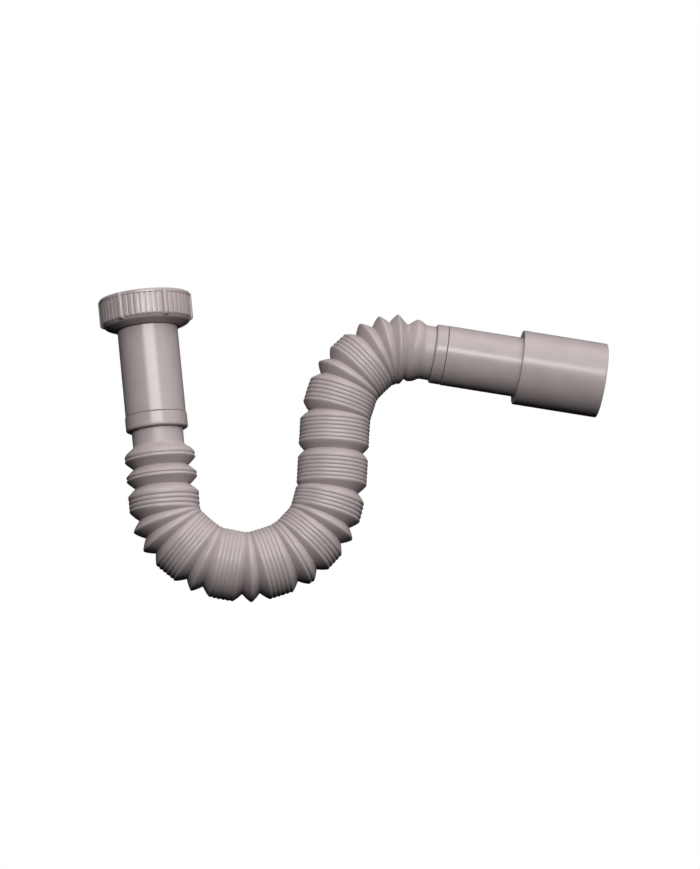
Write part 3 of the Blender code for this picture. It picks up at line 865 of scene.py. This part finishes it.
class TRAP_OT_union_nut(bpy.types.Operator):
    """Make the ribbed union nut with its G 1 1/2 thread"""
    bl_idname = "trap.union_nut"
    bl_label = "Union Nut"

    def execute(self, context):
        nut, tubes = context.scene.trap_nut, context.scene.trap_tubes
        material = bpy.data.materials["moulded_polypropylene"]
        rim = nut.wall_radius + nut.rim_proud
        rim_bottom = nut.top - nut.rim_height
        cone_top = nut.bottom + nut.cone
        neck = tubes.radius + SLIDING_CLEARANCE
        land_radius = neck + NUT_LAND
        plain_bore = nut.thread_radius - nut.thread_depth / 2
        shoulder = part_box("inlet_tube")[1].z - FLANGE_THICKNESS - CLEARANCE
        thread_top = nut.top - THREAD_INSET
        corners = [
            (rim, nut.top, 0.0006),
            (rim, rim_bottom, 0.0002),
            (nut.wall_radius, rim_bottom - 0.5 * nut.rim_proud, 0.0002),
            (nut.wall_radius, cone_top, nut.foot_rounding),
            (land_radius, nut.bottom, 0.0005),
            (neck, nut.bottom, 0.0003),
            (neck, shoulder, 0.0003),
            (plain_bore, shoulder, 0.0003),
            (plain_bore, THREAD_INSET - 0.0006, 0.0),
            (nut.thread_radius, THREAD_INSET, 0.0),
            (nut.thread_radius, thread_top, 0.0),
            (nut.thread_radius + 0.0010, nut.top, 0.0003),
        ]
        shape = turned_shape(rounded_outline(corners), tubes.steps)
        add_thread(
            shape, nut.thread_radius, nut.thread_depth, nut.thread_pitch,
            THREAD_INSET + 0.6 * nut.thread_pitch, thread_top - 0.6 * nut.thread_pitch)
        body = add_object("nut_body", mesh_from(shape, "nut_body"))

        rib = grip_object(
            "nut_rib", land_radius, nut.rib_proud, nut.rib_width, RIB_TIP,
            nut.rib_end, rim_bottom + 0.0004, 0.0009)
        lug = grip_object(
            "nut_lug", land_radius, nut.lug_proud, nut.lug_width, LUG_TIP,
            nut.lug_end, nut.top - 0.0002, 0.0010)
        tree = grip_tree()
        ribbed = grown_mesh(body, tree, {
            "Grip": rib, "Count": nut.rib_count, "First angle": nut.lug_turn,
            "Left out": nut.rib_count // nut.lug_count, "Material": material})
        gripped = grown_mesh(add_object("nut_body", ribbed), tree, {
            "Grip": lug, "Count": nut.lug_count, "First angle": nut.lug_turn,
            "Left out": 1, "Material": material})
        for helper in (rib, lug):
            bpy.data.objects.remove(helper, do_unlink=True)
        piece = new_piece("nut", gripped, material)
        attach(piece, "nut")
        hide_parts("union_nut")
        return {"FINISHED"}


class TRAP_OT_washer(bpy.types.Operator):
    """Make the sealing washer inside the nut"""
    bl_idname = "trap.washer"
    bl_label = "Sealing Washer"

    def execute(self, context):
        low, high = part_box("sealing_washer")
        rubber = bpy.data.materials["moulded_rubber"]
        corners = [
            (high.x, high.z, 0.0003), (high.x, low.z, 0.0003),
            (WASHER_HOLE_RADIUS, low.z, 0.0003), (WASHER_HOLE_RADIUS, high.z, 0.0003),
        ]
        piece = turned_piece("washer", corners, rubber)
        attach(piece, "inlet")
        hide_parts("sealing_washer")
        return {"FINISHED"}


class TRAP_OT_inlet_tube(bpy.types.Operator):
    """Make the inlet tail with its flange and spigot"""
    bl_idname = "trap.inlet_tube"
    bl_label = "Inlet Tube"

    def execute(self, context):
        tubes = context.scene.trap_tubes
        low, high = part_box("inlet_tube")
        flange, bore, spigot = high.x, tubes.radius - tubes.wall, spigot_radius()
        edge, end = tubes.edge_rounding, tubes.inlet_end
        corners = [
            (flange, high.z, edge),
            (flange, high.z - FLANGE_THICKNESS, edge),
            (tubes.radius, high.z - FLANGE_THICKNESS, 0.0),
            (tubes.radius, end, edge),
            (spigot, end, 0.0),
            (spigot, low.z, edge),
            (spigot - SPIGOT_WALL, low.z, edge),
            (spigot - SPIGOT_WALL, end + SPIGOT_RAMP[0], 0.0005),
            (bore, end + SPIGOT_RAMP[1], 0.0010),
            (bore, high.z, edge),
        ]
        piece = moulded_piece("inlet_tail", corners)
        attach(piece, "inlet")
        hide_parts("inlet_tube")
        return {"FINISHED"}


def collar_corners(near, far, radius, inner, edge):
    """A collar's outline, whose far end towards the hose is rounder."""
    return [
        (radius, near, edge), (radius, far, 0.0012), (inner, far, 0.0003), (inner, near, 0.0003),
    ]


class TRAP_OT_collars(bpy.types.Operator):
    """Make the collars that clamp the hose's cuffs"""
    bl_idname = "trap.collars"
    bl_label = "Collars"

    def execute(self, context):
        tubes, hose = context.scene.trap_tubes, context.scene.trap_hose
        inner = hose.cuff_radius + CLEARANCE
        near = tubes.inlet_end - CLEARANCE
        corners = collar_corners(
            near, near - tubes.inlet_collar, tubes.radius + tubes.inlet_collar_proud, inner,
            tubes.edge_rounding)
        piece = moulded_piece("inlet_clamp", corners)
        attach(piece, "inlet")
        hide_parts("inlet_collar")
        near = outlet_step() - CLEARANCE
        corners = collar_corners(
            near, near - tubes.outlet_collar, tubes.radius + tubes.outlet_collar_proud, inner,
            tubes.edge_rounding)
        piece = moulded_piece("outlet_clamp", corners, outlet_matrix())
        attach(piece, "outlet")
        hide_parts("outlet_collar")
        return {"FINISHED"}


class TRAP_OT_hose(bpy.types.Operator):
    """Make the bellows hose in two pieces that meet in an open pleat"""
    bl_idname = "trap.hose"
    bl_label = "Bellows Hose"

    def execute(self, context):
        material = bpy.data.materials["blow_moulded_polypropylene"]
        tree = hose_tree()
        rims, _ = walk_hose()
        last = sum(group[0] for group in INLET_GROUPS) - 1
        inlet_side = hose_piece("hose_inlet_side", 0, last, tree, material)
        outlet_side = hose_piece("hose_outlet_side", last + 1, len(rims) - 1, tree, material)
        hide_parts(*INLET_LENGTHS)
        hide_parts(*OUTLET_LENGTHS)
        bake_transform(inlet_side, "inlet", "hose", start=(0, 0, -0.088), end=(0, 0, -0.131))
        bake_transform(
            outlet_side, "hose", "outlet", start=(0.1179, 0, -0.0818), end=(0.1818, 0, -0.0404))
        return {"FINISHED"}


class TRAP_OT_outlet(bpy.types.Operator):
    """Make the 40 mm outlet tube and the 50 mm sleeve over its end"""
    bl_idname = "trap.outlet"
    bl_label = "Outlet Tube and Sleeve"

    def execute(self, context):
        tubes = context.scene.trap_tubes
        step, bore, spigot = outlet_step(), tubes.radius - tubes.wall, spigot_radius()
        edge = tubes.edge_rounding
        start = step + tubes.outlet_length + CLEARANCE
        end = start + HUB_LENGTH
        corners = [
            (tubes.radius, end, edge),
            (tubes.radius, step, edge),
            (spigot, step, 0.0),
            (spigot, step - tubes.spigot_length, edge),
            (spigot - SPIGOT_WALL, step - tubes.spigot_length, edge),
            (spigot - SPIGOT_WALL, step + SPIGOT_RAMP[0], 0.0005),
            (bore, step + SPIGOT_RAMP[1], 0.0010),
            (bore, end, edge),
        ]
        place = outlet_matrix()
        piece = moulded_piece("outlet_pipe", corners, place)
        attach(piece, "outlet")
        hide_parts("outlet_tube")
        hub, skirt = tubes.radius + CLEARANCE, tubes.sleeve_radius - tubes.sleeve_wall
        web = start + WEB_THICKNESS
        corners = [
            (tubes.sleeve_radius, start + tubes.sleeve_length, 0.0006),
            (tubes.sleeve_radius, start, edge),
            (hub, start, edge),
            (hub, end, 0.0003),
            (hub + HUB_WALL, end, 0.0005),
            (hub + HUB_WALL, web, 0.0005),
            (skirt, web, 0.0005),
            (skirt, start + tubes.sleeve_length, 0.0006),
        ]
        piece = moulded_piece("outlet_socket", corners, place)
        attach(piece, "outlet")
        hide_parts("outlet_sleeve")
        return {"FINISHED"}


class TRAP_OT_finishes(bpy.types.Operator):
    """Make the trap's materials"""
    bl_idname = "trap.finishes"
    bl_label = "Finishes"

    def execute(self, context):
        finish = context.scene.trap_finish
        # Nut, tubes, collars and sleeve: warm mid grey with a soft, narrow line of light
        polypropylene(
            "moulded_polypropylene", tuple(finish.moulded), roughness=0.24,
            cloud_mm=18.0, grain_mm=0.6, grain_height_mm=0.008)
        # Hose: the same grey but duller, with a slight orange peel that spreads the light
        polypropylene(
            "blow_moulded_polypropylene", tuple(finish.hose), roughness=0.38,
            cloud_mm=14.0, grain_mm=0.8, grain_height_mm=0.020)
        # Washer: a matt, nearly black ring in the nut's mouth
        moulded_rubber("moulded_rubber", linear("#1C1B1B"), roughness=0.62, grain_mm=0.5)
        return {"FINISHED"}


def unit_direction(azimuth, elevation):
    """The direction at an azimuth right of the front and an elevation."""
    return Vector((
        math.sin(azimuth) * math.cos(elevation),
        -math.cos(azimuth) * math.cos(elevation),
        math.sin(elevation)))


def seen_directly(tree):
    """One where the camera sees something, also through something clear, and nought elsewhere."""
    rays = add_node(tree, "ShaderNodeLightPath").outputs
    return calc(tree, "MAXIMUM", rays["Is Camera Ray"], rays["Is Transmission Ray"])


def studio_world():
    """White to the camera, with a broad soft glow from the front and above and a faint haze.

    Reflections see the glow and the haze only. With white all round, the undersides turn grey.
    """
    world = bpy.data.worlds.new("studio")
    bpy.context.scene.world = world
    world.use_nodes = True
    tree = world.node_tree
    tree.nodes.clear()
    direction = add_node(tree, "ShaderNodeTexCoord").outputs["Generated"]
    towards_glow = add_node(tree, "ShaderNodeVectorMath", {"operation": "DOT_PRODUCT"}, {
        0: direction, 1: unit_direction(GLOW_AZIMUTH, GLOW_ELEVATION)}).outputs["Value"]
    lobe = map_range(
        tree, towards_glow, GLOW_COSINES, (0.0, GLOW_STRENGTH), interpolation_type="SMOOTHSTEP")
    height = add_node(tree, "ShaderNodeSeparateXYZ", inputs={0: direction}).outputs["Z"]
    haze = map_range(tree, height, (0.0, 0.5), HAZE_STRENGTHS, interpolation_type="SMOOTHSTEP")
    glow = calc(tree, "MAXIMUM", lobe, haze)
    background = add_node(tree, "ShaderNodeBackground", inputs={
        "Color": (1.0, 1.0, 1.0, 1.0), "Strength": calc(tree, "MAXIMUM", seen_directly(tree), glow)})
    add_node(tree, "ShaderNodeOutputWorld", inputs={"Surface": background.outputs[0]})


def floor_material():
    """A white painted floor that keeps its shadows and isn't there when seen from below."""
    material = bpy.data.materials.new("white_floor")
    material.use_nodes = True
    tree = material.node_tree
    tree.nodes.clear()
    paint = add_node(tree, "ShaderNodeBsdfDiffuse", inputs={"Color": (0.8, 0.8, 0.8, 1.0)})
    white = add_node(tree, "ShaderNodeEmission", inputs={"Color": (1.0, 1.0, 1.0, 1.0), "Strength": 1.0})
    top = add_node(tree, "ShaderNodeMixShader", inputs={
        0: calc(tree, "MULTIPLY", seen_directly(tree), FLOOR_WHITE),
        1: paint.outputs[0], 2: white.outputs[0]})
    clear = add_node(tree, "ShaderNodeBsdfTransparent")
    side = add_node(tree, "ShaderNodeNewGeometry").outputs["Backfacing"]
    both = add_node(tree, "ShaderNodeMixShader", inputs={0: side, 1: top.outputs[0], 2: clear.outputs[0]})
    add_node(tree, "ShaderNodeOutputMaterial", inputs={"Surface": both.outputs[0]})
    return material


def add_floor(height):
    """A wide square floor at a height, on which the camera sees the shadow."""
    mesh = bpy.data.meshes.new("floor")
    half = 4.0
    corners = [(-half, -half, height), (half, -half, height), (half, half, height), (-half, half, height)]
    mesh.from_pydata(corners, [], [(0, 1, 2, 3)])
    mesh.materials.append(floor_material())
    floor = add_object("floor", mesh)
    floor.visible_diffuse = False
    floor.visible_glossy = False


def add_softbox(name, aim, azimuth, elevation, width, height, power, shines=True):
    """An area light that faces aim, and that may be left out of reflections."""
    data = bpy.data.lights.new(name, "AREA")
    data.shape = "RECTANGLE"
    data.size, data.size_y = width, height
    data.energy = power
    lamp = add_object(name, data)
    back = unit_direction(azimuth, elevation)
    lamp.location = aim + SOFTBOX_DISTANCE * back
    lamp.rotation_mode = "QUATERNION"
    lamp.rotation_quaternion = back.to_track_quat("Z", "Y")
    lamp.visible_camera = False
    lamp.visible_glossy = shines


class TRAP_OT_stage(bpy.types.Operator):
    """Make the floor, the soft lights and the camera"""
    bl_idname = "trap.stage"
    bl_label = "Stage"

    def execute(self, context):
        stage = context.scene.trap_stage
        context.scene.view_settings.view_transform = "Standard"
        studio_world()
        add_floor(cad_box[0].z - stage.floor_drop)
        aim = Vector((0.12683, 0.0, -0.0915))
        add_softbox(
            "key_softbox", aim, math.radians(-3.5), math.radians(14), width=1.2, height=0.38,
            power=stage.key_power)
        add_softbox(
            "back_softbox", aim, math.radians(170), math.radians(35), width=1.2, height=0.8,
            power=stage.back_power, shines=False)

        data = bpy.data.cameras.new("camera")
        data.lens = stage.lens
        data.sensor_width = 36.0
        camera = add_object("camera", data)
        back = unit_direction(stage.azimuth, stage.elevation)
        camera.location = aim + stage.distance * back
        camera.rotation_mode = "QUATERNION"
        roll = Matrix.Rotation(-stage.roll, 3, "Z").to_quaternion()
        camera.rotation_quaternion = (-back).to_track_quat("-Z", "Y") @ roll
        context.scene.camera = camera
        return {"FINISHED"}


class TRAP_PT_panel(bpy.types.Panel):
    """The trap's pieces and sizes"""
    bl_idname = "TRAP_PT_panel"
    bl_label = "Sink Trap"
    bl_space_type = "VIEW_3D"
    bl_region_type = "UI"
    bl_category = "Sink Trap"

    def draw(self, context):
        for operator in OPERATORS:
            self.layout.operator(operator.bl_idname)
        for group in GROUPS:
            settings = getattr(context.scene, group)
            box = self.layout.box()
            for key in settings.__annotations__:
                box.prop(settings, key)


GROUPS = {
    "trap_nut": NutSizes, "trap_tubes": TubeSizes, "trap_hose": HoseSizes,
    "trap_finish": FinishColours, "trap_stage": StageSizes,
}
OPERATORS = (
    TRAP_OT_finishes, TRAP_OT_union_nut, TRAP_OT_washer, TRAP_OT_inlet_tube, TRAP_OT_collars,
    TRAP_OT_hose, TRAP_OT_outlet, TRAP_OT_stage,
)


def register():
    for group in (*GROUPS.values(), *OPERATORS, TRAP_PT_panel):
        bpy.utils.register_class(group)
    for name, group in GROUPS.items():
        setattr(bpy.types.Scene, name, PointerProperty(type=group))


def unregister():
    for name in GROUPS:
        delattr(bpy.types.Scene, name)
    for group in reversed((*GROUPS.values(), *OPERATORS, TRAP_PT_panel)):
        bpy.utils.unregister_class(group)


def main():
    register()
    bpy.ops.trap.finishes()
    bpy.ops.trap.union_nut()
    bpy.ops.trap.washer()
    bpy.ops.trap.inlet_tube()
    bpy.ops.trap.collars()
    bpy.ops.trap.hose()
    bpy.ops.trap.outlet()
    bpy.ops.trap.stage()


if __name__ == "__main__":
    main()
